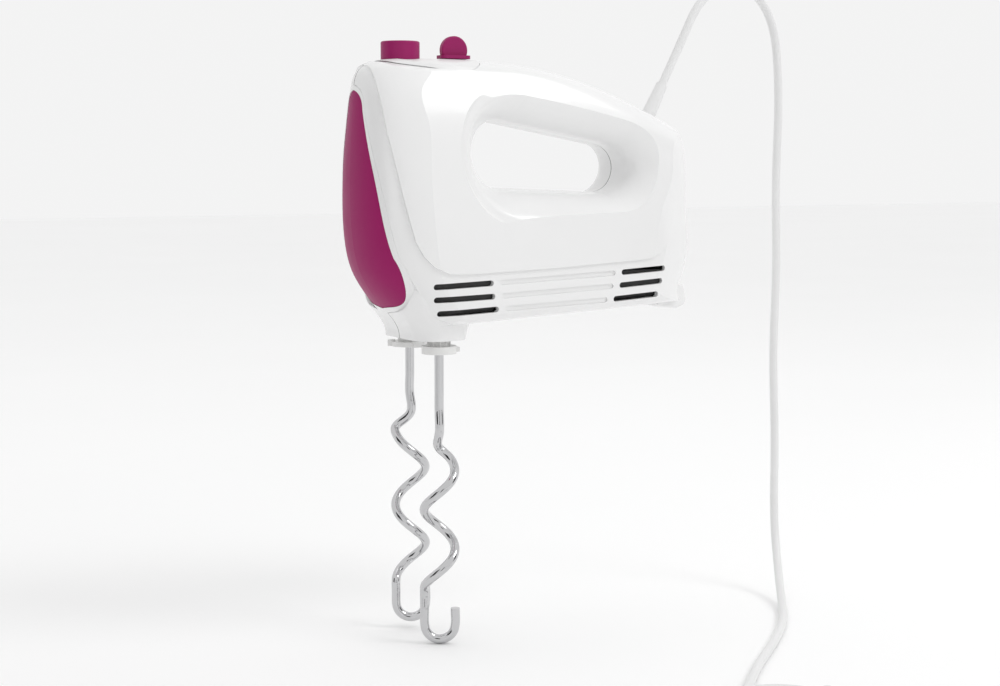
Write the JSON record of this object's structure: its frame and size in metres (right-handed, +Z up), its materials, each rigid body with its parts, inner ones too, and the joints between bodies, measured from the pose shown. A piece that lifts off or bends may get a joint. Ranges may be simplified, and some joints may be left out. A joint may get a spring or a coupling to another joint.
{
  "type": "hand mixer",
  "caption": "Electric hand mixer with a moulded two-part housing, an arched grip, front trim panel, eject button, speed slider, spiral dough hooks and a mains cord with plug.",
  "frame": {"origin": "middle of the grip bar, where the hand holds the mixer", "axes": "+X from the nose to the tail, +Y to the mixer's right side, +Z up, away from the tools"},
  "size_m": [0.2752, 0.3141, 0.3527],
  "materials": {
    "housing_white": "gloss",
    "panel_magenta": "satin",
    "soft_rubber": "matt",
    "inner_white": "satin",
    "inner_grey": "matt",
    "inner_black": "matt",
    "gear_plastic": "satin",
    "spring_steel": "bright",
    "screw_steel": "zinc plated",
    "bearing_bronze": "sintered",
    "shaft_steel": "ground",
    "lamination_steel": "oiled",
    "copper": "enamelled",
    "carbon": "matt",
    "hook_chrome": "polished",
    "cord_white": "satin",
    "tie_white": "satin",
    "pin_nickel": "bright"
  },
  "bodies": {
    "housing": {"left_shell": "housing_white", "right_shell": "housing_white", "panel_bezel": "housing_white", "front_panel": "panel_magenta", "control_deck": "housing_white", "tool_socket": "housing_white", "heel": "housing_white", "heel_pads": "soft_rubber", "vent_screens": "inner_black", "spring_seat": "inner_white", "gear_frame": "inner_grey", "front_bearings": "bearing_bronze", "rear_bearing": "bearing_bronze", "brush_bracket": "inner_grey", "brushes": "carbon", "speed_switch": "inner_black", "housing_screws": "screw_steel", "stator": "lamination_steel", "field_coils": "copper", "strain_relief": "cord_white", "cord": "cord_white", "cord_coil": "cord_white", "cord_tie": "tie_white", "plug_body": "cord_white", "plug_pins": "pin_nickel"},
    "ejector": {"eject_button": "panel_magenta", "eject_fork": "inner_white", "eject_spring": "spring_steel"},
    "slider": {"speed_slider": "panel_magenta"},
    "left_drive": {"left_gear": "gear_plastic"},
    "right_drive": {"right_gear": "gear_plastic"},
    "motor_rotor": {"worm_shaft": "shaft_steel", "rotor_core": "lamination_steel", "rotor_windings": "copper", "commutator": "copper", "fan": "inner_grey"},
    "left_tool": {"left_hook": "hook_chrome", "left_collar": "inner_white"},
    "right_tool": {"right_hook": "hook_chrome", "right_collar": "inner_white"}
  },
  "joints": [
    {"name": "left_gear_spin", "type": "hinge", "parent": "housing", "child": "left_drive", "pos_m": [-0.07, -0.018, -0.08], "axis": [0, 0, 1], "continuous": true},
    {"name": "right_gear_spin", "type": "hinge", "parent": "housing", "child": "right_drive", "pos_m": [-0.07, 0.018, -0.08], "axis": [0, 0, 1], "continuous": true},
    {"name": "motor_spin", "type": "hinge", "parent": "housing", "child": "motor_rotor", "pos_m": [0, 0, -0.08], "axis": [1, 0, 0], "continuous": true},
    {"name": "eject_press", "type": "slide", "parent": "housing", "child": "ejector", "axis": [0, 0, -1], "range_m": [0, 0.0065], "stiffness_N_per_m": 400, "springref_m": -0.003, "deforming": ["eject_spring"]},
    {"name": "left_tool_slide", "type": "slide", "parent": "left_drive", "child": "left_tool", "axis": [0, 0, -1], "range_m": [0, 0.0065]},
    {"name": "right_tool_slide", "type": "slide", "parent": "right_drive", "child": "right_tool", "axis": [0, 0, -1], "range_m": [0, 0.0065]},
    {"name": "speed_slide", "type": "slide", "parent": "housing", "child": "slider", "axis": [-1, 0, 0], "range_m": [0, 0.009]}
  ],
  "couplings": [
    {"joint": "right_gear_spin", "follows": "left_gear_spin", "ratio": -1},
    {"joint": "motor_spin", "follows": "left_gear_spin", "ratio": 24},
    {"joint": "left_tool_slide", "follows": "eject_press", "ratio": 1},
    {"joint": "right_tool_slide", "follows": "eject_press", "ratio": 1}
  ]
}
